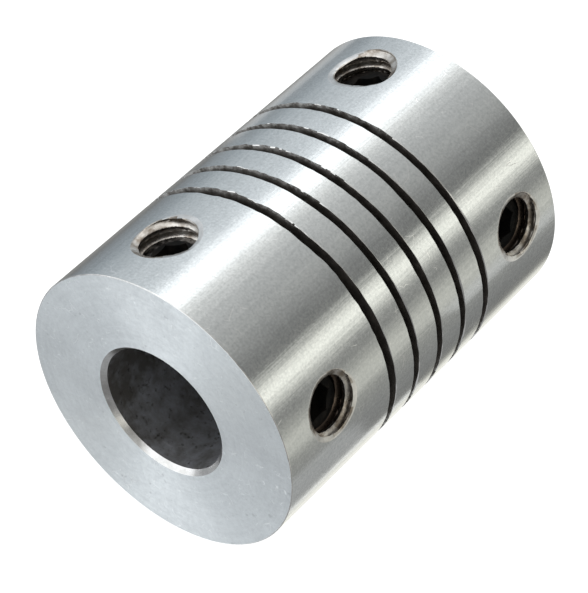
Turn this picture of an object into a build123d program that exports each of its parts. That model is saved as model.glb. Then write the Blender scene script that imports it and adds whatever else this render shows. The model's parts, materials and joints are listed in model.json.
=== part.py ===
from build123d import *
import os

# A one-piece flexible shaft coupling of the helical-slit (beam) kind, with four grub screws.
# Millimetres. The shaft axis is Y, from the 8 mm end (-Y) to the 5 mm end (+Y). The origin is on
# the axis, midway between the end faces. One screw of each end points up (+Z), the other
# sideways (+X). Angles about the axis are measured from +Z towards +X.

# Body. The bores are a sliding fit on an 8 mm and a 5 mm shaft.
OUTER_DIAMETER = 18.0
BODY_LENGTH = 25.0
SHAFT_CLEARANCE = 0.02
NEAR_BORE = 8.0 + SHAFT_CLEARANCE
FAR_BORE = 5.0 + SHAFT_CLEARANCE
BORE_CHAMFER = 0.28
EDGE_BREAK = 0.06

# Helical slit: right-handed, one start. The slit and the screws share one middle, a little
# off the middle of the body.
FLEXURE_MIDDLE = 0.36
SLIT_PITCH = 2.22
SLIT_WIDTH = 0.5
SLIT_TURNS = 5
SLIT_START_ANGLE = 180.0

# Turns of slit from its start to each place where the beam bends, stretches or twists. The
# four bending places lie on the axis that they bend about.
FLEX_TURNS = [0.0, 0.75, 1.5, 2.5, 3.25, 4.0]

# M4 grub screws, sunk in their tapped holes
SCREW_HOLE = 4.0
SCREW_DIAMETER = 3.9
SCREW_LENGTH = 3.0
SCREW_RECESS = 1.2
SCREW_FROM_MIDDLE = 8.75
SCREW_CHAMFER = 0.3
SOCKET_FLATS = 2.0
SOCKET_DEPTH = 1.5
CUP_DIAMETER = 2.0
CUP_DEPTH = 0.5
SCREW_ANGLES = {"top": 0.0, "side": 90.0}

outer_radius = OUTER_DIAMETER / 2
near_face = -BODY_LENGTH / 2
far_face = BODY_LENGTH / 2
slit_start = FLEXURE_MIDDLE - SLIT_PITCH * SLIT_TURNS / 2
slit_end = FLEXURE_MIDDLE + SLIT_PITCH * SLIT_TURNS / 2
near_screws = FLEXURE_MIDDLE - SCREW_FROM_MIDDLE
far_screws = FLEXURE_MIDDLE + SCREW_FROM_MIDDLE

# Cutters run past what they cut: inside the smaller bore and outside the body
CUT_INNER_RADIUS = 1.5
CUT_OUTER_RADIUS = outer_radius + 1.0

# Cylinders that start at their own origin instead of being centred on it
FROM_BASE = (Align.CENTER, Align.CENTER, Align.MIN)

# The solids are built about their own Z, which this turns onto the shaft axis
shaft_frame = Plane(origin=(0, 0, 0), x_dir=(0, 0, 1), z_dir=(0, 1, 0)).location


def cone(base_radius, top_radius, low, high):
    """A cone about the axis between two heights."""
    return Pos(0, 0, (low + high) / 2) * Cone(base_radius, top_radius, high - low)


def helical_band(low, high, first_turn, last_turn):
    """A radial rectangle carried along the slit's helix.

    low and high are its heights above the middle of the slit, and the turns are counted from
    the slit's start.
    """
    middle_radius = (CUT_INNER_RADIUS + CUT_OUTER_RADIUS) / 2
    width = CUT_OUTER_RADIUS - CUT_INNER_RADIUS
    turns = last_turn - first_turn
    path = Helix(pitch=SLIT_PITCH, height=SLIT_PITCH * turns, radius=middle_radius)
    section_plane = Plane(origin=(middle_radius, 0, 0), x_dir=(1, 0, 0), z_dir=(0, -1, 0))
    section = section_plane * Pos(0, (low + high) / 2) * Rectangle(width, high - low)
    band = sweep(section, path=path, is_frenet=True)
    angle = SLIT_START_ANGLE + 360 * first_turn
    return Pos(0, 0, slit_start + SLIT_PITCH * first_turn) * Rot(0, 0, angle) * band


def screw_holes(height):
    """The radial tapped holes of one hub, from the axis outwards."""
    holes = []
    for angle in SCREW_ANGLES.values():
        drill = Cylinder(SCREW_HOLE / 2, CUT_OUTER_RADIUS, align=FROM_BASE)
        holes.append(Pos(0, 0, height) * Rot(0, 0, angle) * Rot(0, 90, 0) * drill)
    return holes


def blank():
    """The turned body before it is slit: two bores that meet at mid-length, and broken edges."""
    body = Cylinder(outer_radius, BODY_LENGTH)
    body = chamfer(body.edges().filter_by(GeomType.CIRCLE), EDGE_BREAK)
    near_radius = NEAR_BORE / 2
    far_radius = FAR_BORE / 2
    body -= Pos(0, 0, near_face / 2) * Cylinder(near_radius, BODY_LENGTH / 2)
    body -= Pos(0, 0, far_face / 2) * Cylinder(far_radius, BODY_LENGTH / 2)
    body -= cone(near_radius + BORE_CHAMFER, near_radius, near_face, near_face + BORE_CHAMFER)
    body -= cone(far_radius, far_radius + BORE_CHAMFER, far_face - BORE_CHAMFER, far_face)
    return body


def slice_of(body, low, high):
    """The part of the body between two heights."""
    size = OUTER_DIAMETER + 2
    return body & Pos(0, 0, (low + high) / 2) * Box(size, size, high - low)


def near_hub(body):
    """The solid end with the larger bore, up to the slit's first turn."""
    hub = slice_of(body, near_face, slit_start + SLIT_PITCH - SLIT_WIDTH / 2)
    for first_turn in (0, 0.5):
        hub -= helical_band(-SLIT_WIDTH / 2, SLIT_PITCH, first_turn, first_turn + 0.5)
    for hole in screw_holes(near_screws):
        hub -= hole
    return hub


def far_hub(body):
    """The solid end with the smaller bore, from the slit's last turn."""
    hub = slice_of(body, slit_end - SLIT_PITCH + SLIT_WIDTH / 2, far_face)
    for first_turn in (SLIT_TURNS - 1, SLIT_TURNS - 0.5):
        hub -= helical_band(-SLIT_PITCH, SLIT_WIDTH / 2, first_turn, first_turn + 0.5)
    for hole in screw_holes(far_screws):
        hub -= hole
    return hub


def beam_section(body, first_turn, last_turn):
    """A length of the helical beam: the metal between two passes of the slit."""
    band = helical_band(SLIT_WIDTH / 2, SLIT_PITCH - SLIT_WIDTH / 2, first_turn, last_turn)
    return body & band


def grub_screw(height, angle):
    """A cup-point screw with a hexagon socket, its axis radial and its socket outwards."""
    radius = SCREW_DIAMETER / 2
    screw = Cylinder(radius, SCREW_LENGTH, align=FROM_BASE)
    screw = chamfer(screw.edges().filter_by(GeomType.CIRCLE), SCREW_CHAMFER)
    socket = RegularPolygon(SOCKET_FLATS / 2, 6, major_radius=False)
    screw -= Pos(0, 0, SCREW_LENGTH - SOCKET_DEPTH) * extrude(socket, SOCKET_DEPTH)
    screw -= cone(CUP_DIAMETER / 2, 0, 0, CUP_DEPTH)
    tip_radius = outer_radius - SCREW_RECESS - SCREW_LENGTH
    return Pos(0, 0, height) * Rot(0, 0, angle) * Rot(0, 90, 0) * Pos(0, 0, tip_radius) * screw


def write(name, shape):
    """One STEP file for one node."""
    solid = shape.solids()[0]
    solid.label = name
    export_step(shaft_frame * solid, f"parts/{name}.step")


os.makedirs("parts", exist_ok=True)
turned_body = blank()
write("near_hub", near_hub(turned_body))
write("far_hub", far_hub(turned_body))
for number, (first, last) in enumerate(zip(FLEX_TURNS, FLEX_TURNS[1:]), start=1):
    write(f"beam_section_{number}", beam_section(turned_body, first, last))
for side, angle in SCREW_ANGLES.items():
    write(f"near_screw_{side}", grub_screw(near_screws, angle))
    write(f"far_screw_{side}", grub_screw(far_screws, angle))
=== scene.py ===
import json
import math

import bmesh
import bpy
import numpy as np
from mathutils import Matrix, Vector, noise


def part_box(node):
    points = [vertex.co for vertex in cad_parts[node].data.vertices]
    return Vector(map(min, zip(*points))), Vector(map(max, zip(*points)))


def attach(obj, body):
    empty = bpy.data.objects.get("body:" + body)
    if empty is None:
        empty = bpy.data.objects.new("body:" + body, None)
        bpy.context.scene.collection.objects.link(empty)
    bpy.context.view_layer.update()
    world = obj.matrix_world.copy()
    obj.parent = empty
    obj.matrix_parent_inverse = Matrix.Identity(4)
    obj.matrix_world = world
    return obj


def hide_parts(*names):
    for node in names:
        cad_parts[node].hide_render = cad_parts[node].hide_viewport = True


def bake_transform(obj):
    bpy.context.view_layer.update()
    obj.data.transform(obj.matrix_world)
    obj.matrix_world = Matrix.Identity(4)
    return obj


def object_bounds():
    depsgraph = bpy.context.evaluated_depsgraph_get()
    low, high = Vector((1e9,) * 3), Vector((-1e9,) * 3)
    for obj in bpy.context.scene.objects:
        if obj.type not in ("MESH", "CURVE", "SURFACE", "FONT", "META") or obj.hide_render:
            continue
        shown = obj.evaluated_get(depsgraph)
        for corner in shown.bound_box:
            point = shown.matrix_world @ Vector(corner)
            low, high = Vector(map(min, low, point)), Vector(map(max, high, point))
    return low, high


# A helical-slit shaft coupling with four grub screws, lying on its side. Shapes are built in
# millimetres and become metres as they turn into meshes. The shaft axis is Y, and angles about
# it run from +Z towards +X.

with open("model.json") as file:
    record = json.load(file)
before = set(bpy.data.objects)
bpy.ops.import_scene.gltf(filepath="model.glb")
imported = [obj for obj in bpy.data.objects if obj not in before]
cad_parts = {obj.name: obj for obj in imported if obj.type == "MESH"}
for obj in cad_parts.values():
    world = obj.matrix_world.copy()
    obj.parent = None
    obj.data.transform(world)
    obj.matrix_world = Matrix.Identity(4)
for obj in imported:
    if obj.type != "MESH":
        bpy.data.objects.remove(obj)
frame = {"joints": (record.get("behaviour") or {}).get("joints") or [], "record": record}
cad_low, cad_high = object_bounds()
MM = 0.001

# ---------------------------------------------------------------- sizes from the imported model

mounts = {mount["name"]: mount["dims"] for mount in frame["record"]["mounts"]}
joints = {joint["name"]: joint for joint in frame["joints"]}

outer_radius = cad_high.x / MM
half_length = cad_high.y / MM
near_bore = mounts["near_bore"]["r_mm"]
far_bore = mounts["far_bore"]["r_mm"]
bore_chamfer = half_length - mounts["near_bore"]["length_mm"]

# The places where the beam flexes, in order along the shaft. The slit starts half a pitch
# before the first of them.
FLEXURES = ["near_bend_z", "near_bend_x", "end_float", "wind_up", "far_bend_x", "far_bend_z"]
BEAM_TURNS = 4
SLIT_TURNS = BEAM_TURNS + 1
SLIT_START_ANGLE = 180.0
FLOAT_TURNS = 1.5
first_flexure = joints[FLEXURES[0]]["pos_m"][1] / MM
last_flexure = joints[FLEXURES[-1]]["pos_m"][1] / MM
slit_pitch = (last_flexure - first_flexure) / BEAM_TURNS
slit_start = first_flexure - slit_pitch / 2

# Nodes of the screws, with the angle of each about the shaft, and how deep its thread starts
SCREWS = {
    "near_screw_top": (0, -0.19),
    "near_screw_side": (90, -0.25),
    "far_screw_top": (0, 0.22),
    "far_screw_side": (90, -0.26),
}
RUBBED_SCREW = "near_screw_top"

# ---------------------------------------------------------------- sizes that only the looks have

OUTER_EDGE = 0.06

# The slit: its walls are straight up to WALL_TOP below the surface, and from there they wave
# and flare a little
SLIT_WIDTH = 0.5
WALL_TOP = 0.5
SLIT_EDGE = 0.03
EDGE_WAVE = 0.02

# The saw was let in roughly: near its start the slit waves more, and it is wider. Both end
# after about a turn, at these angles from the start.
START_WAVE, START_WAVE_END = 7, 310
START_WIDENING, START_WIDENING_END, START_WIDENING_FADE = 0.035, 400, 80

# The saw left burrs where it entered and left: near this angle about the shaft, and opposite it
BURR_ANGLE = -12.0
# The slit's walls are also painted lighter under the edge in this sector and the opposite one, where light
# falls: painted light.
BURR_AND_PAINTED_LIGHT_DIRECTION = (math.sin(math.radians(BURR_ANGLE)), 0, math.cos(math.radians(BURR_ANGLE)))
BURR_REACH = 0.65
BURR_WAVE = 0.09

# M4 thread, 60 degrees. The screw's thread is a little smaller all over than the hole's.
THREAD_PITCH = 0.7
FLANK_SLOPE = math.sqrt(3)
HOLE_ROOT, HOLE_CREST, HOLE_VEE = 2.0, 1.65, 2.09
SCREW_CREST, SCREW_ROOT, SCREW_VEE = 1.93, 1.52, 2.01

# The break at the mouth of a tapped hole
MOUTH_EDGE = 0.025
MOUTH_SLOPE = 5.0
MOUTH_REACH = 0.3

# Radii and depths of a grub screw's ends, and its hexagon socket
CUP_RADIUS = 1.0
CUP_DEPTH = 0.5
TIP_RADIUS = 1.3
TOP_RADIUS = 1.47
COUNTERSINK_RADIUS = 1.22
COUNTERSINK_SLOPE = 0.6
SOCKET_FLATS = 2.0
SOCKET_DEPTH = 1.5
SOCKET_POINT = 0.35

# Mesh fineness
ROUND_STEPS = 360
BEAM_RINGS = 24
SLIT_STEP = 1.0
THREAD_COLUMNS = 96
ROWS_PER_PITCH = 20
SHARP_ANGLE = math.radians(28)

# Material slots of every piece of the body, in this order
SIDE, FACE, BORE, EDGE, SLIT, THREAD, OILED_AND_SHADED = range(7)
BLACK, RUBBED = 0, 1


# ---------------------------------------------------------------- materials

class Nodes:
    """Short calls for building a node tree."""

    def __init__(self, tree):
        self.tree = tree

    def add(self, kind, **settings):
        node = self.tree.nodes.new(kind)
        for key, value in settings.items():
            setattr(node, key, value)
        return node

    def put(self, socket, value):
        """Sets an input, or links it if the value is another node's output."""
        if isinstance(value, bpy.types.NodeSocket):
            self.tree.links.new(value, socket)
        else:
            socket.default_value = value

    def maths(self, operation, *values):
        node = self.add("ShaderNodeMath", operation=operation)
        for socket, value in zip(node.inputs, values):
            self.put(socket, value)
        return node.outputs[0]

    def stretched(self, place, scale):
        node = self.add("ShaderNodeVectorMath", operation="MULTIPLY")
        self.put(node.inputs[0], place)
        node.inputs[1].default_value = scale
        return node.outputs[0]

    def toward(self, place, direction):
        """How far a place or a direction reaches in another direction."""
        node = self.add("ShaderNodeVectorMath", operation="DOT_PRODUCT")
        self.put(node.inputs[0], place)
        node.inputs[1].default_value = direction
        return node.outputs["Value"]

    def radius(self, place):
        """Distance from the shaft axis."""
        node = self.add("ShaderNodeVectorMath", operation="LENGTH")
        self.put(node.inputs[0], self.stretched(place, (1, 0, 1)))
        return node.outputs["Value"]

    def noise(self, place, scale, detail=3.0, roughness=0.55):
        node = self.add("ShaderNodeTexNoise")
        self.put(node.inputs["Vector"], place)
        node.inputs["Scale"].default_value = scale
        node.inputs["Detail"].default_value = detail
        node.inputs["Roughness"].default_value = roughness
        return node.outputs["Fac"]

    def lines(self, along, scale):
        """Noise that changes only with one number: lathe marks."""
        node = self.add("ShaderNodeTexNoise", noise_dimensions="1D")
        self.put(node.inputs["W"], along)
        node.inputs["Scale"].default_value = scale
        node.inputs["Detail"].default_value = 4.0
        node.inputs["Roughness"].default_value = 0.7
        return node.outputs["Fac"]

    def remap(self, value, low, high, to_low=0.0, to_high=1.0, smooth=False):
        shape = "SMOOTHSTEP" if smooth else "LINEAR"
        node = self.add("ShaderNodeMapRange", interpolation_type=shape)
        for name, number in (("From Min", low), ("From Max", high),
                             ("To Min", to_low), ("To Max", to_high)):
            node.inputs[name].default_value = number
        self.put(node.inputs["Value"], value)
        return node.outputs[0]

    def mix(self, amount, low_colour, high_colour):
        node = self.add("ShaderNodeMix", data_type="RGBA")
        self.put(node.inputs[0], amount)
        self.put(node.inputs[6], low_colour)
        self.put(node.inputs[7], high_colour)
        return node.outputs[2]

    def scratches(self, place, scale, width, share):
        """Short curved scratches: thin pieces of the borders between warped cells."""
        warp = self.add("ShaderNodeTexNoise")
        self.put(warp.inputs["Vector"], place)
        warp.inputs["Scale"].default_value = scale * 0.7
        warped = self.add("ShaderNodeVectorMath", operation="MULTIPLY_ADD")
        self.put(warped.inputs[0], warp.outputs["Color"])
        warped.inputs[1].default_value = (1.2 / scale,) * 3
        self.put(warped.inputs[2], place)
        cells = self.add("ShaderNodeTexVoronoi", feature="DISTANCE_TO_EDGE")
        self.put(cells.inputs["Vector"], warped.outputs[0])
        cells.inputs["Scale"].default_value = scale
        line = self.remap(cells.outputs["Distance"], 0.0, width * scale, 1.0, 0.0)
        where = self.noise(place, scale * 0.9, detail=1.0)
        shown = self.remap(where, 1 - share, 1 - share + 0.04)
        return self.maths("MULTIPLY", line, shown)


class Surface(Nodes):
    """One material's nodes."""

    def __init__(self, name):
        self.material = bpy.data.materials.new(name)
        self.material.use_nodes = True
        super().__init__(self.material.node_tree)
        self.shader = self.tree.nodes["Principled BSDF"]

    def millimetres(self):
        """The place on the object, in millimetres."""
        place = self.add("ShaderNodeTexCoord").outputs["Object"]
        node = self.add("ShaderNodeVectorMath", operation="SCALE")
        self.put(node.inputs[0], place)
        node.inputs["Scale"].default_value = 1 / MM
        return node.outputs[0]

    def bump(self, height, distance):
        node = self.add("ShaderNodeBump")
        node.inputs["Strength"].default_value = 1.0
        node.inputs["Distance"].default_value = distance * MM
        self.put(node.inputs["Height"], height)
        self.put(self.shader.inputs["Normal"], node.outputs[0])

    def finish(self, colour, roughness, metallic=1.0, anisotropic=0.0):
        """The material. An anisotropic one blurs its reflections across the lathe's marks."""
        self.put(self.shader.inputs["Base Color"], colour)
        self.put(self.shader.inputs["Roughness"], roughness)
        self.shader.inputs["Metallic"].default_value = metallic
        if anisotropic:
            tangent = self.add("ShaderNodeTangent", direction_type="RADIAL", axis="Y")
            self.put(self.shader.inputs["Tangent"], tangent.outputs[0])
            self.shader.inputs["Anisotropic"].default_value = anisotropic
            self.shader.inputs["Anisotropic Rotation"].default_value = 0.25
        return self.material


def turned_side():
    """Bright-drawn and turned aluminium: faint lines along it, a fine grain and tiny nicks."""
    m = Surface("turned_side")
    place = m.millimetres()
    grain = m.noise(place, 6.5, detail=3.0, roughness=0.7)
    drawn = m.noise(m.stretched(place, (3.2, 0.04, 3.2)), 1.0, detail=5.0, roughness=0.65)
    marks = m.noise(m.stretched(place, (0.3, 9.0, 0.3)), 1.0, detail=3.0)
    clouds = m.noise(place, 0.5, detail=4.0)
    nicks = m.maths("MAXIMUM", m.scratches(place, 0.6, 0.022, 0.35), m.scratches(place, 1.5, 0.022, 0.3))
    lightness = m.maths("MULTIPLY_ADD", grain, 0.6, m.maths("MULTIPLY", drawn, 0.25))
    lightness = m.maths("MULTIPLY_ADD", clouds, 0.15, lightness)
    colour = m.mix(m.remap(lightness, 0.38, 0.62), (0.60, 0.63, 0.64, 1), (0.79, 0.82, 0.83, 1))
    colour = m.mix(m.maths("MULTIPLY", nicks, 0.7), colour, (0.96, 0.96, 0.96, 1))
    roughness = m.maths("MULTIPLY_ADD", grain, 0.08, m.maths("MULTIPLY_ADD", clouds, 0.08, 0.10))
    height = m.maths("MULTIPLY_ADD", grain, 0.32, drawn)
    height = m.maths("MULTIPLY_ADD", marks, 0.15, m.maths("MULTIPLY_ADD", nicks, -0.4, height))
    m.bump(height, 0.006)
    return m.finish(colour, roughness, anisotropic=0.4)


def faced_end():
    """Faced and lightly tumbled aluminium: faint rings, fine mottling and short scratches."""
    m = Surface("faced_end")
    place = m.millimetres()
    rings = m.lines(m.radius(place), 3.2)
    mottle = m.noise(place, 3.4, detail=4.0, roughness=0.7)
    clouds = m.noise(place, 0.45, detail=3.0)
    fine = m.maths("MAXIMUM", m.scratches(place, 0.8, 0.03, 0.38), m.scratches(place, 2.0, 0.026, 0.36))
    pits = m.remap(m.noise(place, 2.2, detail=1.0), 0.74, 0.78)
    lightness = m.maths("MULTIPLY_ADD", mottle, 0.6, m.maths("MULTIPLY", rings, 0.16))
    lightness = m.maths("MULTIPLY_ADD", clouds, 0.24, lightness)
    colour = m.mix(m.remap(lightness, 0.38, 0.62), (0.59, 0.605, 0.62, 1), (0.755, 0.775, 0.79, 1))
    colour = m.mix(m.maths("MULTIPLY", fine, 0.85), colour, (0.95, 0.96, 0.97, 1))
    colour = m.mix(m.maths("MULTIPLY", pits, 0.4), colour, (0.4, 0.41, 0.42, 1))
    roughness = m.maths("MULTIPLY_ADD", mottle, 0.18, 0.34)
    height = m.maths("MULTIPLY_ADD", mottle, 0.9, m.maths("MULTIPLY", rings, 0.25))
    m.bump(m.maths("SUBTRACT", height, m.maths("MAXIMUM", fine, pits)), 0.006)
    return m.finish(colour, roughness, anisotropic=0.85)


def bore_wall():
    """Bored aluminium, grey and dull, stained dark in spots and scratched towards the bottom, where it is
    also painted lighter as painted light.
    """
    m = Surface("bore")
    place = m.millimetres()
    marks = m.lines(m.toward(place, (0, 1, 0)), 5.0)
    low_down = m.toward(place, (0.5, 0, -0.87))
    # Painted light: the wall is painted lighter, up to a bluish grey, towards the bottom, where light
    # falls.
    lightened = m.remap(low_down, -0.5 * near_bore, 0.9 * near_bore, -0.07, 0.10)
    specks = m.noise(place, 2.7, detail=4.0, roughness=0.6)
    clouds = m.noise(place, 0.35, detail=3.0)
    smudge = m.noise(place, 1.6, detail=5.0, roughness=0.65)
    worn = m.remap(low_down, 0.0, 0.7 * near_bore)
    nicks = m.maths("MULTIPLY", m.scratches(place, 0.6, 0.03, 0.5), worn)
    # shade mixes the real stains with the painted light towards the bottom.
    shade = m.maths("MULTIPLY_ADD", smudge, 0.5, m.maths("MULTIPLY_ADD", clouds, 0.5, lightened))
    colour = m.mix(m.remap(shade, 0.38, 0.64), (0.27, 0.255, 0.24, 1), (0.72, 0.74, 0.79, 1))
    colour = m.mix(m.remap(specks, 0.58, 0.74), colour, (0.10, 0.09, 0.08, 1))
    colour = m.mix(m.maths("MULTIPLY", nicks, 0.6), colour, (0.8, 0.8, 0.82, 1))
    roughness = m.maths("MULTIPLY_ADD", marks, 0.2, 0.4)
    m.bump(m.maths("ADD", marks, smudge), 0.006)
    return m.finish(colour, roughness)


def broken_edge():
    """The small bevels: freshly cut, so brighter than the faces beside them."""
    m = Surface("broken_edge")
    place = m.millimetres()
    marks = m.lines(m.radius(place), 14.0)
    patches = m.noise(place, 1.6, detail=4.0)
    colour = m.mix(m.remap(patches, 0.35, 0.65), (0.66, 0.66, 0.65, 1), (0.86, 0.86, 0.86, 1))
    roughness = m.maths("MULTIPLY_ADD", patches, 0.2, 0.14)
    m.bump(m.maths("MULTIPLY_ADD", patches, 1.5, marks), 0.003)
    return m.finish(colour, roughness)


def slit_wall():
    """Sawn walls of the slit: dirty brown-black, painted lighter under the edge at top and bottom as
    painted light, with light burr flecks on the lip there.
    """
    m = Surface("slit_wall")
    place = m.millimetres()
    radius = m.radius(place)
    streaks = m.noise(m.stretched(place, (1.0, 6.0, 1.0)), 1.6, detail=4.0, roughness=0.7)
    patches = m.noise(place, 1.3, detail=4.0)
    flecks = m.remap(m.noise(place, 3.4, detail=3.0), 0.47, 0.56)
    dirt = m.maths("MULTIPLY_ADD", streaks, 0.5, m.maths("MULTIPLY", patches, 0.5))
    # Painted light: in the sector at top and bottom, the wall is painted lighter under the edge, where
    # light falls. The light burr flecks on the lip go there too.
    sector = m.maths("ABSOLUTE", m.toward(place, BURR_AND_PAINTED_LIGHT_DIRECTION))
    burrs_and_painted_light = m.remap(sector, 0.60 * outer_radius, 0.85 * outer_radius)
    deep = m.mix(m.remap(dirt, 0.35, 0.65), (0.13, 0.12, 0.11, 1), (0.27, 0.25, 0.235, 1))
    # light is the painted-light colour of the wall's upper part there; deep is the wall's dark colour
    # elsewhere.
    light = m.mix(m.remap(dirt, 0.38, 0.62), (0.31, 0.29, 0.27, 1), (0.72, 0.71, 0.70, 1))
    ragged = m.maths("MULTIPLY_ADD", streaks, 0.5, m.maths("SUBTRACT", radius, 0.25))
    upper = m.remap(ragged, outer_radius - 0.4, outer_radius - 0.08)
    colour = m.mix(m.maths("MULTIPLY", upper, burrs_and_painted_light), deep, light)
    lip = m.remap(ragged, outer_radius - 0.22, outer_radius - 0.1)
    bright = m.maths("MULTIPLY", m.maths("MULTIPLY", lip, burrs_and_painted_light), flecks)
    colour = m.mix(bright, colour, (0.88, 0.88, 0.87, 1))
    m.bump(m.maths("ADD", streaks, patches), 0.015)
    return m.finish(colour, m.maths("MULTIPLY_ADD", patches, 0.25, 0.5))


def tapped_thread(name, oil_and_painted_shade):
    """Tapped aluminium, stained in patches, and when asked painted dark in its depth: oil and painted
    shade.
    """
    m = Surface(name)
    place = m.millimetres()
    patches = m.noise(place, 1.6, detail=4.0)
    grain = m.noise(place, 9.0, detail=3.0)
    clean = m.mix(m.remap(patches, 0.38, 0.62), (0.29, 0.25, 0.21, 1), (0.70, 0.675, 0.64, 1))
    # Oil and painted shade: deeper than 0.7 mm below the surface the thread is painted dark, as shade
    # falls in the hole's depth.
    depth = m.remap(m.radius(place), outer_radius - 1.0, outer_radius - 0.7, oil_and_painted_shade, 0.0)
    colour = m.mix(depth, clean, (0.13, 0.10, 0.08, 1))
    m.bump(grain, 0.006)
    return m.finish(colour, m.maths("MULTIPLY_ADD", grain, 0.2, 0.2))


def black_oxide():
    """Blackened steel: near black and half matt, with a little brown in it."""
    m = Surface("black_oxide")
    place = m.millimetres()
    grain = m.noise(place, 7.0, detail=5.0)
    patches = m.noise(place, 1.4, detail=3.0)
    colour = m.mix(m.remap(patches, 0.45, 0.75), (0.010, 0.010, 0.010, 1), (0.030, 0.025, 0.021, 1))
    m.bump(grain, 0.008)
    m.shader.inputs["Specular IOR Level"].default_value = 0.07
    return m.finish(colour, m.maths("MULTIPLY_ADD", grain, 0.25, 0.35), metallic=0.04)


def rubbed_oxide():
    """Blackened steel rubbed to bare metal in places, on the screws' top bevels."""
    m = Surface("rubbed_oxide")
    place = m.millimetres()
    grain = m.noise(place, 5.0, detail=5.0)
    lightened = m.remap(m.noise(place, 1.8, detail=4.0), 0.45, 0.62)
    colour = m.mix(lightened, (0.06, 0.058, 0.06, 1), (0.55, 0.54, 0.54, 1))
    m.bump(grain, 0.01)
    return m.finish(colour, m.maths("MULTIPLY_ADD", grain, 0.25, 0.22))


body_materials = [turned_side(), faced_end(), bore_wall(), broken_edge(), slit_wall(),
                  tapped_thread("thread", 0.0), tapped_thread("oiled_and_shaded_thread", 1.0)]
screw_materials = [black_oxide(), rubbed_oxide()]


# ---------------------------------------------------------------- mesh helpers

def new_object(name, vertices, faces, surfaces, materials):
    """A closed mesh object from points in millimetres, with a material number for each face."""
    mesh = bpy.data.meshes.new(name)
    mesh.from_pydata([Vector(v) * MM for v in vertices], [], faces)
    for material in materials:
        mesh.materials.append(material)
    mesh.polygons.foreach_set("material_index", surfaces)
    work = bmesh.new()
    work.from_mesh(mesh)
    bmesh.ops.recalc_face_normals(work, faces=work.faces)
    work.to_mesh(mesh)
    work.free()
    thing = bpy.data.objects.new(name, mesh)
    bpy.context.scene.collection.objects.link(thing)
    return thing


def ring_faces(rings, columns, closed=False):
    """Quads between neighbouring rings of points, one ring after another."""
    faces = []
    for i in range(rings if closed else rings - 1):
        j = (i + 1) % rings
        for k in range(columns):
            n = (k + 1) % columns
            faces.append((i * columns + k, i * columns + n, j * columns + n, j * columns + k))
    return faces


def around(radius, angle, height):
    """The point at a radius and an angle about the shaft, and a place along it."""
    turn = math.radians(angle)
    return (radius * math.sin(turn), height, radius * math.cos(turn))


def combine(target, tool, operation):
    """target's mesh after a boolean with tool, which is used up."""
    modifier = target.modifiers.new("combine", "BOOLEAN")
    modifier.operation = operation
    modifier.solver = "MANIFOLD"
    modifier.object = tool
    graph = bpy.context.evaluated_depsgraph_get()
    mesh = bpy.data.meshes.new_from_object(target.evaluated_get(graph))
    target.modifiers.remove(modifier)
    bpy.data.objects.remove(tool)
    return mesh


# ---------------------------------------------------------------- the body

def turned_blank():
    """The body before it is slit and drilled: one turned profile."""
    r, h = outer_radius, half_length
    middle = r - OUTER_EDGE
    outer_arc = [(middle + OUTER_EDGE * math.sin(math.radians(a)),
                  h - OUTER_EDGE + OUTER_EDGE * math.cos(math.radians(a))) for a in (0, 30, 60, 90)]
    profile = [(near_bore + bore_chamfer, -h, FACE)]
    profile += [(radius, -height, EDGE) for radius, height in outer_arc[:-1]]
    profile.append((r, -h + OUTER_EDGE, SIDE))
    beam_length = slit_pitch * SLIT_TURNS
    for ring in range(BEAM_RINGS + 1):
        profile.append((r, slit_start + beam_length * ring / BEAM_RINGS, SIDE))
    profile += [(radius, height, EDGE) for radius, height in reversed(outer_arc[1:])]
    profile.append((middle, h, FACE))
    profile.append((far_bore + bore_chamfer, h, EDGE))
    profile.append((far_bore, h - bore_chamfer, BORE))
    profile.append((far_bore, 0.0, BORE))
    profile.append((near_bore, 0.0, BORE))
    profile.append((near_bore, -h + bore_chamfer, EDGE))
    vertices = []
    for step in range(ROUND_STEPS):
        angle = 360 * step / ROUND_STEPS
        vertices += [around(radius, angle, height) for radius, height, surface in profile]
    faces = ring_faces(ROUND_STEPS, len(profile), closed=True)
    surfaces = [surface for radius, height, surface in profile] * ROUND_STEPS
    return new_object("blank", vertices, faces, surfaces, body_materials)


def unevenness(along, seed):
    """A smooth random number of about -1 to 1 for a place along an edge, in degrees."""
    slow = noise.noise(Vector((along / 14, seed, 0.5)))
    fast = noise.noise(Vector((along / 3.1, seed, 7.5)))
    return slow + 0.6 * fast


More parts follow.
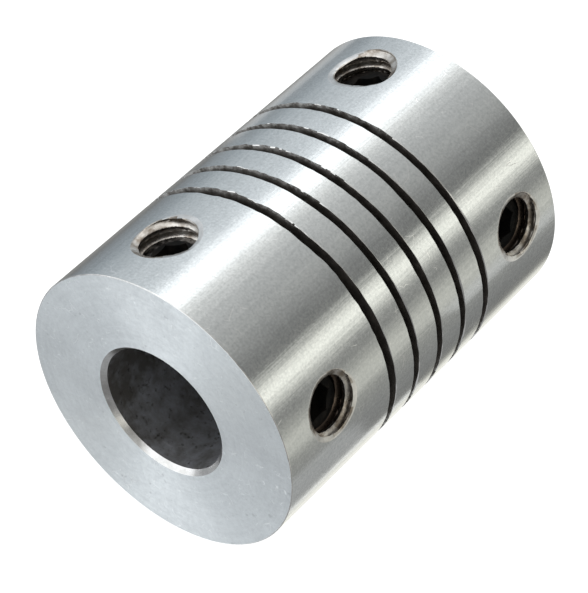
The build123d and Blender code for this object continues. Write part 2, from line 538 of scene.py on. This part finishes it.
def slit_cutter():
    """The helical slit: its sawn edges are uneven, most of all in the first turn, which is wider."""
    inner, flare = far_bore - 0.6, 0.4
    outside = outer_radius + flare
    half = SLIT_WIDTH / 2
    steps = round(360 * SLIT_TURNS / SLIT_STEP)
    vertices = []
    surfaces = []
    for step in range(steps + 1):
        turned = step * SLIT_STEP
        middle = slit_start + slit_pitch * turned / 360
        angle = SLIT_START_ANGLE + turned
        rough = 1 + START_WAVE * max(0.0, 1 - turned / START_WAVE_END)
        fading = (START_WIDENING_END - turned) / START_WIDENING_FADE
        widened = START_WIDENING * min(1.0, max(0.0, fading))
        from_burrs = abs(math.cos(math.radians(angle - BURR_ANGLE)))
        burr = max(0.0, from_burrs - BURR_REACH) / (1 - BURR_REACH)
        section = [(inner, -half), (inner, half)]
        for side, seed in ((1, 3.0), (-1, 41.0)):
            wave = EDGE_WAVE * rough * unevenness(turned, seed) + widened
            if side == 1:
                wave += BURR_WAVE * burr * noise.noise(Vector((turned / 2.3, seed, 3.5)))
            edge = SLIT_EDGE * max(0.3, 1 + 1.3 * unevenness(turned, seed + 20))
            lip = half + wave
            wall = [(outer_radius - WALL_TOP, side * half), (outer_radius - edge, side * lip),
                    (outside, side * (lip + edge + flare))]
            section += wall if side == 1 else wall[::-1]
        vertices += [around(radius, angle, middle + height) for radius, height in section]
        if step < steps:
            bit = noise.noise(Vector((turned / 3.0, 5.0, 9.5)))
            burred_edge = SLIT if burr > 0.2 and bit < 0.3 else EDGE
            surfaces += [SLIT, SLIT, SLIT, burred_edge, EDGE, EDGE, SLIT, SLIT]
    columns = len(section)
    faces = ring_faces(steps + 1, columns)
    faces.append(tuple(range(columns)))
    faces.append(tuple(range(steps * columns, (steps + 1) * columns)))
    surfaces += [SLIT, SLIT]
    return new_object("slit_cutter", vertices, faces, surfaces, body_materials)


def thread_radius(vee, crest, root, height, column, phase):
    """Radius of a right-hand thread at a height along it and a column round it."""
    turns = (height - phase) / THREAD_PITCH - column / THREAD_COLUMNS
    from_groove = abs(turns - round(turns))
    return min(max(vee - FLANK_SLOPE * THREAD_PITCH * from_groove, crest), root)


def stacked_rings(name, rings, low_pole, high_pole, surfaces, materials):
    """A closed solid about its own Z from rings of (radius, height), closed at two poles."""
    vertices = []
    for ring in rings:
        for column, (radius, height) in enumerate(ring):
            turn = 2 * math.pi * column / THREAD_COLUMNS
            vertices.append((radius * math.cos(turn), radius * math.sin(turn), height))
    faces = ring_faces(len(rings), THREAD_COLUMNS)
    low, high = len(vertices), len(vertices) + 1
    vertices += [(0.0, 0.0, low_pole), (0.0, 0.0, high_pole)]
    last = (len(rings) - 1) * THREAD_COLUMNS
    for k in range(THREAD_COLUMNS):
        n = (k + 1) % THREAD_COLUMNS
        faces.append((low, n, k))
        faces.append((high, last + k, last + n))
    surfaces = surfaces + [surfaces[-1]] * (2 * THREAD_COLUMNS)
    return new_object(name, vertices, faces, surfaces, materials)


def place_radially(thing, angle, y):
    """Turns a solid built about +Z to an angle about the shaft and moves it along the shaft."""
    turn = Matrix.Rotation(math.radians(angle), 4, "Y")
    thing.data.transform(Matrix.Translation((0, y * MM, 0)) @ turn)


def tapped_hole(bore, phase, seed, thread_surface):
    """The cutter of a tapped hole: thread from the bore outwards, and an uneven break.

    It runs from inside the bore to outside the body. Its rings follow the round side of the
    body, so that the break has the same depth all round.
    """
    start, end = bore - 1.2, outer_radius + 0.5
    rows = math.ceil((end - start) / THREAD_PITCH * ROWS_PER_PITCH)
    rings = []
    surfaces = []
    for row in range(rows + 1):
        depth = outer_radius - start - (end - start) * row / rows
        ring = []
        for column in range(THREAD_COLUMNS):
            turn = 2 * math.pi * column / THREAD_COLUMNS
            height = math.sqrt(outer_radius ** 2 - (HOLE_ROOT * math.cos(turn)) ** 2) - depth
            radius = thread_radius(HOLE_VEE, HOLE_CREST, HOLE_ROOT, height, column, phase)
            rough = noise.noise(Vector((3 * math.cos(turn), 3 * math.sin(turn), seed)))
            mouth = HOLE_ROOT + MOUTH_EDGE * (1 + rough) - MOUTH_SLOPE * depth
            ring.append((max(radius, min(mouth, HOLE_ROOT + MOUTH_REACH)), height))
            if row < rows:
                surfaces.append(EDGE if mouth > radius else thread_surface)
        rings.append(ring)
    return stacked_rings("hole", rings, start, end, surfaces, body_materials)


def grub_screw(tip, top, phase, lightened):
    """A cup-point screw with its ends chamfered and a countersunk hexagon socket."""
    rings = [[(CUP_RADIUS, tip)] * THREAD_COLUMNS, [(TIP_RADIUS, tip)] * THREAD_COLUMNS]
    rows = math.ceil((top - tip) / THREAD_PITCH * ROWS_PER_PITCH)
    for row in range(rows + 1):
        height = tip + (top - tip) * row / rows
        ring = []
        for column in range(THREAD_COLUMNS):
            radius = thread_radius(SCREW_VEE, SCREW_ROOT, SCREW_CREST, height, column, phase)
            low_bevel = TIP_RADIUS + 0.05 + height - tip
            high_bevel = TOP_RADIUS + 0.03 + top - height
            ring.append((min(radius, low_bevel, high_bevel), height))
        rings.append(ring)
    rings.append([(TOP_RADIUS, top)] * THREAD_COLUMNS)
    rings.append([(COUNTERSINK_RADIUS, top)] * THREAD_COLUMNS)
    hexagon = []
    for column in range(THREAD_COLUMNS):
        from_flat = math.radians((360 * column / THREAD_COLUMNS + 30) % 60 - 30)
        hexagon.append(SOCKET_FLATS / 2 / math.cos(from_flat))
    rings.append([(radius, top - COUNTERSINK_SLOPE * (COUNTERSINK_RADIUS - radius)) for radius in hexagon])
    rings.append([(radius, top - SOCKET_DEPTH) for radius in hexagon])
    surfaces = []
    for ring in rings[:-1]:
        on_top = ring[0][1] > top - 0.5 and ring[0][0] > COUNTERSINK_RADIUS
        surfaces += [RUBBED if lightened and on_top else BLACK] * THREAD_COLUMNS
    socket_bottom = top - SOCKET_DEPTH - SOCKET_POINT
    return stacked_rings("screw", rings, tip + CUP_DEPTH, socket_bottom, surfaces, screw_materials)


def block(low, high):
    """A box across the whole body between two places along the shaft."""
    s = outer_radius + 3
    vertices = [(x, y, z) for x in (-s, s) for y in (low, high) for z in (-s, s)]
    faces = [(0, 1, 3, 2), (4, 5, 7, 6), (0, 1, 5, 4), (2, 3, 7, 6), (0, 2, 6, 4), (1, 3, 7, 5)]
    return new_object("block", vertices, faces, [SLIT] * len(faces), body_materials)


def shade(mesh):
    """Smooth shading of the body that follows its true surfaces rather than their facets."""
    mesh.polygons.foreach_set("use_smooth", [True] * len(mesh.polygons))
    mesh.set_sharp_from_angle(angle=SHARP_ANGLE)
    points = np.empty(len(mesh.vertices) * 3)
    mesh.vertices.foreach_get("co", points)
    points = points.reshape(-1, 3) / MM
    normals = np.zeros((len(mesh.loops), 3))
    for polygon in mesh.polygons:
        surface = polygon.material_index
        if surface not in (SIDE, FACE, BORE, SLIT):
            continue
        flat = np.array(polygon.normal)
        loops = list(polygon.loop_indices)
        corners = points[[mesh.loops[i].vertex_index for i in loops]]
        radii = np.hypot(corners[:, 0], corners[:, 2])
        outward = np.stack([corners[:, 0] / radii, 0 * radii, corners[:, 2] / radii], axis=1)
        if surface == SLIT and abs(flat[1]) < 0.999:
            onward = np.stack([outward[:, 2], 0 * radii, -outward[:, 0]], axis=1)
            lead = slit_pitch / (2 * math.pi * radii)
            true = np.array([0.0, 1.0, 0.0]) - lead[:, None] * onward
            normals[loops] = true * math.copysign(1.0, flat[1])
        elif abs(flat[1]) > 0.9:
            normals[loops] = flat
        elif surface in (SIDE, BORE):
            middle = outward.mean(axis=0)
            normals[loops] = outward * math.copysign(1.0, float(middle @ flat))
    lengths = np.linalg.norm(normals, axis=1, keepdims=True)
    normals = np.divide(normals, lengths, out=normals, where=lengths > 0)
    mesh.normals_split_custom_set(normals.tolist())


def flexure_place(name):
    """Where the beam flexes for a joint, along the shaft."""
    if name == "end_float":
        return first_flexure + slit_pitch * FLOAT_TURNS
    return joints[name]["pos_m"][1] / MM


def add_screw(body, node, number, angle, thread_start):
    """A grub screw in the place of its node, and its tapped hole in the body."""
    low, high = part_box(node)
    tip, top = (low.z, high.z) if angle == 0 else (low.x, high.x)
    y = (low.y + high.y) / 2 / MM
    bore = near_bore if node.startswith("near") else far_bore
    phase = outer_radius - thread_start
    # The side holes get the thread that is painted dark in its depth: oil and painted shade.
    hole = tapped_hole(bore, phase, 10.0 * number, THREAD if angle == 0 else OILED_AND_SHADED)
    place_radially(hole, angle, y)
    body.data = combine(body, hole, "DIFFERENCE")
    screw = grub_screw(tip / MM, top / MM, phase, node == RUBBED_SCREW)
    place_radially(screw, angle, y)
    screw.name = node + "_threaded"
    screw.data.polygons.foreach_set("use_smooth", [True] * len(screw.data.polygons))
    screw.data.set_sharp_from_angle(angle=SHARP_ANGLE)
    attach(screw, node)
    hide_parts(node)


def add_length(body, number, low, high):
    """One length of the body, between two cuts across the shaft, in place of the parts it stands for."""
    mesh = combine(body, block(low, high), "INTERSECT")
    length = bpy.data.objects.new(f"coupling_body_{number + 1}", mesh)
    bpy.context.scene.collection.objects.link(length)
    shade(mesh)
    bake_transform(length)
    if number == 0:
        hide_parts("near_hub", "beam_section_1")
    elif number == len(FLEXURES) - 1:
        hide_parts("far_hub")
    else:
        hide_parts(f"beam_section_{number + 1}")


def build():
    """Cuts the body and adds the screws, then divides the body midway between the flexures."""
    body = turned_blank()
    body.data = combine(body, slit_cutter(), "DIFFERENCE")
    for number, (node, (angle, thread_start)) in enumerate(SCREWS.items()):
        add_screw(body, node, number, angle, thread_start)
    places = [flexure_place(name) for name in FLEXURES]
    inside = [(a + b) / 2 for a, b in zip(places, places[1:])]
    cuts = [-half_length - 1, *inside, half_length + 1]
    for number, place in enumerate(places):
        add_length(body, number, cuts[number], cuts[number + 1])
    bpy.data.objects.remove(body)


build()

# ---------------------------------------------------------------- camera

AZIMUTH, ELEVATION, ROLL = 47.56, 33.23, -15.88
DISTANCE, LENS = 158.12, 169.05
AIM_RIGHT, AIM_UP = -0.367, -0.676


def add_camera():
    """The camera looks down on the larger bore's end, rolled a little."""
    a, e = math.radians(AZIMUTH), math.radians(ELEVATION)
    back = Vector((math.sin(a) * math.cos(e), -math.cos(a) * math.cos(e), math.sin(e)))
    level = Vector((0, 0, 1)).cross(back).normalized()
    turn = Matrix.Rotation(math.radians(ROLL), 3, back)
    right, up = turn @ level, turn @ back.cross(level)
    data = bpy.data.cameras.new("camera")
    data.lens = LENS
    data.sensor_width = 36
    data.clip_start = 0.001
    data.clip_end = 10
    camera = bpy.data.objects.new("camera", data)
    bpy.context.scene.collection.objects.link(camera)
    location = (AIM_RIGHT * right + AIM_UP * up + DISTANCE * back) * MM
    axes = Matrix((right, up, back)).transposed().to_4x4()
    camera.matrix_world = Matrix.Translation(location) @ axes
    bpy.context.scene.camera = camera


add_camera()

# ---------------------------------------------------------------- studio

# The light tent round the object: its brightness at angles about the shaft, from straight up
# (0) towards +X, with a tint from cool (positive) to warm (negative)
TENT = [
    (-180, 0.28, -0.9), (-171, 0.27, -1.2), (-165, 0.34, -2.0), (-161, 0.90, -2.2), (-148, 1.33, -1.9),
    (-133, 0.72, -1.2), (-124, 0.33, -1.1), (-112, 0.33, -1.0), (-103, 0.24, -0.4), (-95, 0.33, 1.2),
    (-80, 0.46, 1.4), (-66, 0.63, 1.1), (-48, 0.79, 0.8), (-30, 0.91, 0.7), (-20, 1.07, 0.6),
    (-9, 2.05, 0.1), (0, 1.95, -0.2), (7, 1.14, -0.7), (17, 0.80, -0.5), (30, 0.62, -0.5),
    (48, 0.51, -0.9), (65, 0.265, -0.9), (74, 0.23, -1.0), (90, 1.66, -2.2), (99, 0.72, -1.9),
    (106, 0.33, -1.3), (113, 0.33, -1.4), (127, 0.75, -2.3), (136, 0.80, -2.2), (146, 0.42, -1.7),
    (167, 0.33, -0.9), (180, 0.28, -0.9),
]
TENT_GAIN = 0.86

# What the larger bore's end faces: an even grey, and a long soft panel across it. A window
# higher up lights the chamfer of that bore, and a shade low on the right darkens it.
END_COLOUR = (0.352, 0.36, 0.367, 1)
PANEL_DIRECTION = (-0.617, -0.565, -0.548)
PANEL_SHORT_AXIS = (-0.749, 0.191, 0.647)
PANEL_COLOUR = (1.14, 1.21, 1.24, 1)
WINDOW_DIRECTION = (-0.42, -0.65, 0.63)
WINDOW_COLOUR = (1.35, 1.37, 1.38, 1)
SHADE_DIRECTION = (0.50, -0.68, -0.53)
SHADE_COLOUR = (0.23, 0.23, 0.23, 1)

# Small soft boxes close to the object, which light only a stretch of its side: centre, width,
# length, turn about the shaft and brightness
SOFT_BOXES = {
    "left_box": ((-50, 49, -1), 15, 28, -90, 0.24),
    "right_box": ((14.0, 17, -9), 2.8, 16, 180, 0.22),
    "low_box": ((4.85, 0, -15), 1.2, 14, 180, 0.55),
    "wide_low_box": ((9.6, -4, -15), 7.4, 11, 180, 0.13),
}

FLOOR_SIZE = 1000
FLOOR_BRIGHTNESS = 0.97


def end_lights(world, direction):
    """The lights that the larger bore's end faces, each as how much of it a direction sees."""
    ahead = world.toward(direction, PANEL_DIRECTION)
    aside = world.toward(direction, PANEL_SHORT_AXIS)
    oval = world.maths("MULTIPLY_ADD", world.maths("MULTIPLY", aside, aside), -10.0, ahead)
    window = world.toward(direction, WINDOW_DIRECTION)
    shade = world.toward(direction, SHADE_DIRECTION)
    return [
        (world.remap(ahead, 0.42, 0.62, smooth=True), END_COLOUR),
        (world.remap(oval, 0.4, 0.8, smooth=True), PANEL_COLOUR),
        (world.remap(window, 0.78, 0.88, smooth=True), WINDOW_COLOUR),
        (world.remap(shade, 0.80, 0.94, smooth=True), SHADE_COLOUR),
    ]


def add_tent():
    """A world that lights the object like a tent of soft panels along the shaft."""
    studio = bpy.data.worlds.new("studio")
    bpy.context.scene.world = studio
    studio.use_nodes = True
    world = Nodes(studio.node_tree)
    direction = world.add("ShaderNodeTexCoord").outputs["Generated"]
    split = world.add("ShaderNodeSeparateXYZ")
    world.put(split.inputs[0], direction)
    angle = world.maths("ARCTAN2", split.outputs["X"], split.outputs["Z"])
    ramp = world.add("ShaderNodeValToRGB")
    world.put(ramp.inputs["Fac"], world.remap(angle, -math.pi, math.pi))
    elements = ramp.color_ramp.elements
    while len(elements) < len(TENT):
        elements.new(0.5)
    for element, (degrees, brightness, cool) in zip(elements, TENT):
        element.position = (degrees + 180) / 360
        level = brightness * TENT_GAIN
        red = 1 - (0.06 if cool > 0 else 0.01) * cool
        element.color = (level * red, level, level * (1 + 0.045 * cool), 1)
    light = ramp.outputs["Color"]
    for amount, colour in end_lights(world, direction):
        light = world.mix(amount, light, colour)
    seen = world.add("ShaderNodeLightPath").outputs["Is Camera Ray"]
    backdrop = world.mix(seen, light, (1, 1, 1, 1))
    world.put(world.tree.nodes["Background"].inputs["Color"], backdrop)


def add_floor():
    """A plain white light table under the object."""
    half, z = FLOOR_SIZE * MM / 2, cad_low.z
    corners = [(-half, -half, z), (half, -half, z), (half, half, z), (-half, half, z)]
    mesh = bpy.data.meshes.new("floor")
    mesh.from_pydata(corners, [], [(0, 1, 2, 3)])
    paint = bpy.data.materials.new("floor")
    paint.use_nodes = True
    shader = paint.node_tree.nodes["Principled BSDF"]
    shader.inputs["Base Color"].default_value = (0.3, 0.3, 0.3, 1)
    shader.inputs["Roughness"].default_value = 0.9
    shader.inputs["Emission Color"].default_value = (1, 1, 1, 1)
    shader.inputs["Emission Strength"].default_value = FLOOR_BRIGHTNESS
    mesh.materials.append(paint)
    floor = bpy.data.objects.new("floor", mesh)
    floor.visible_glossy = False
    floor.visible_diffuse = False
    floor.visible_shadow = False
    bpy.context.scene.collection.objects.link(floor)


def add_soft_boxes():
    """Small soft boxes that only reflections show."""
    for name, (centre, width, length, turn, brightness) in SOFT_BOXES.items():
        data = bpy.data.lights.new(name, "AREA")
        data.shape = "RECTANGLE"
        data.size, data.size_y = width * MM, length * MM
        data.energy = 4 * brightness * data.size * data.size_y
        box = bpy.data.objects.new(name, data)
        box.visible_camera = False
        box.visible_diffuse = False
        box.matrix_world = (Matrix.Translation(Vector(centre) * MM)
                            @ Matrix.Rotation(math.radians(turn), 4, "Y"))
        bpy.context.scene.collection.objects.link(box)


add_tent()
add_floor()
add_soft_boxes()
bpy.context.scene.view_settings.view_transform = "Standard"
bpy.context.view_layer.update()
